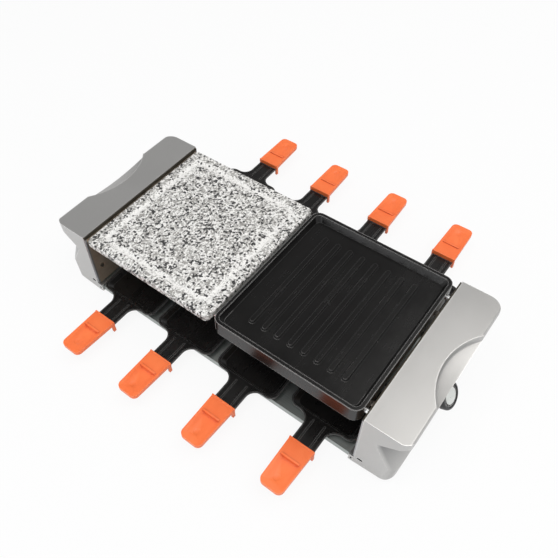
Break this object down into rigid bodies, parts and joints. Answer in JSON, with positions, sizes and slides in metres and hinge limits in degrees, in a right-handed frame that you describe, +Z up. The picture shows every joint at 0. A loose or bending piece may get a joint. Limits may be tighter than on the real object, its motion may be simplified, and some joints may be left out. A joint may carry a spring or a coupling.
{
  "type": "raclette grill",
  "caption": "Countertop raclette grill with a stone plate, a ribbed grill plate and handled pans that slide in under the heating element.",
  "frame": {"origin": "on the table under the middle of the grill, half way between the housings and half way between their front and back faces", "axes": "+X to the right, toward the housing with the dial, +Y to the back, +Z up"},
  "size_m": [0.5383, 0.5055, 0.1104],
  "materials": {
    "silver_shell": "satin silver",
    "black_cover": "fine grain",
    "foot_rubber": "matt",
    "zinc_screw": "zinc plated",
    "shield_steel": "polished",
    "rod_steel": "bright",
    "tray_steel": "brushed, darkened",
    "element_sheath": "oxidised",
    "ceramic": "unglazed",
    "bracket_steel": "plain",
    "granite": "speckled, honed",
    "grill_coating": "non-stick coated cast aluminium",
    "dial_black": "satin",
    "dial_white": "gloss",
    "pan_coating": "non-stick coated steel",
    "handle_orange": "satin",
    "switchgear": "moulded",
    "brass_nut": "plain"
  },
  "bodies": {
    "frame": {"left_housing": "silver_shell", "right_housing": "silver_shell", "left_base_cover": "black_cover", "right_base_cover": "black_cover", "base_cover_screws": "zinc_screw", "rubber_feet": "foot_rubber", "left_heat_shield": "shield_steel", "right_heat_shield": "shield_steel", "shield_screws": "zinc_screw", "front_support_rod": "rod_steel", "rear_support_rod": "rod_steel", "rod_nuts": "zinc_screw", "pan_tray": "tray_steel", "tray_screws": "zinc_screw", "heating_element": "element_sheath", "element_insulators": "ceramic", "element_terminals": "rod_steel", "element_support": "bracket_steel", "element_clips": "bracket_steel", "thermostat_bezel": "dial_black", "thermostat_body": "switchgear", "thermostat_nut": "brass_nut", "cord_gland": "black_cover", "terminal_block": "ceramic", "thermal_fuse": "bracket_steel"},
    "granite": {"granite_plate": "granite"},
    "grill": {"grill_plate": "grill_coating"},
    "dial": {"thermostat_shaft": "rod_steel", "thermostat_knob": "dial_black", "knob_cap": "dial_white"},
    "pan_front_1": {"pan_front_1": "pan_coating", "handle_front_1": "handle_orange"},
    "pan_front_2": {"pan_front_2": "pan_coating", "handle_front_2": "handle_orange"},
    "pan_front_3": {"pan_front_3": "pan_coating", "handle_front_3": "handle_orange"},
    "pan_front_4": {"pan_front_4": "pan_coating", "handle_front_4": "handle_orange"},
    "pan_back_1": {"pan_back_1": "pan_coating", "handle_back_1": "handle_orange"},
    "pan_back_2": {"pan_back_2": "pan_coating", "handle_back_2": "handle_orange"},
    "pan_back_3": {"pan_back_3": "pan_coating", "handle_back_3": "handle_orange"},
    "pan_back_4": {"pan_back_4": "pan_coating", "handle_back_4": "handle_orange"}
  },
  "joints": [
    {"name": "granite_lift", "type": "slide", "parent": "frame", "child": "granite", "axis": [0, 0, 1], "range_m": [0, 0.08]},
    {"name": "grill_lift", "type": "slide", "parent": "frame", "child": "grill", "axis": [0, 0, 1], "range_m": [0, 0.08]},
    {"name": "dial_turn", "type": "hinge", "parent": "frame", "child": "dial", "pos_m": [0.25728, 0, 0.0506], "axis": [0.866, 0, 0.5], "range_deg": [0, 270]},
    {"name": "pan_front_1_slide", "type": "slide", "parent": "frame", "child": "pan_front_1", "axis": [0, -1, 0], "range_m": [-0.006, 0.115]},
    {"name": "pan_front_2_slide", "type": "slide", "parent": "frame", "child": "pan_front_2", "axis": [0, -1, 0], "range_m": [-0.006, 0.115]},
    {"name": "pan_front_3_slide", "type": "slide", "parent": "frame", "child": "pan_front_3", "axis": [0, -1, 0], "range_m": [-0.006, 0.115]},
    {"name": "pan_front_4_slide", "type": "slide", "parent": "frame", "child": "pan_front_4", "axis": [0, -1, 0], "range_m": [-0.006, 0.115]},
    {"name": "pan_back_1_slide", "type": "slide", "parent": "frame", "child": "pan_back_1", "axis": [0, 1, 0], "range_m": [-0.075, 0.04]},
    {"name": "pan_back_2_slide", "type": "slide", "parent": "frame", "child": "pan_back_2", "axis": [0, 1, 0], "range_m": [-0.075, 0.04]},
    {"name": "pan_back_3_slide", "type": "slide", "parent": "frame", "child": "pan_back_3", "axis": [0, 1, 0], "range_m": [-0.075, 0.04]},
    {"name": "pan_back_4_slide", "type": "slide", "parent": "frame", "child": "pan_back_4", "axis": [0, 1, 0], "range_m": [-0.075, 0.04]}
  ]
}
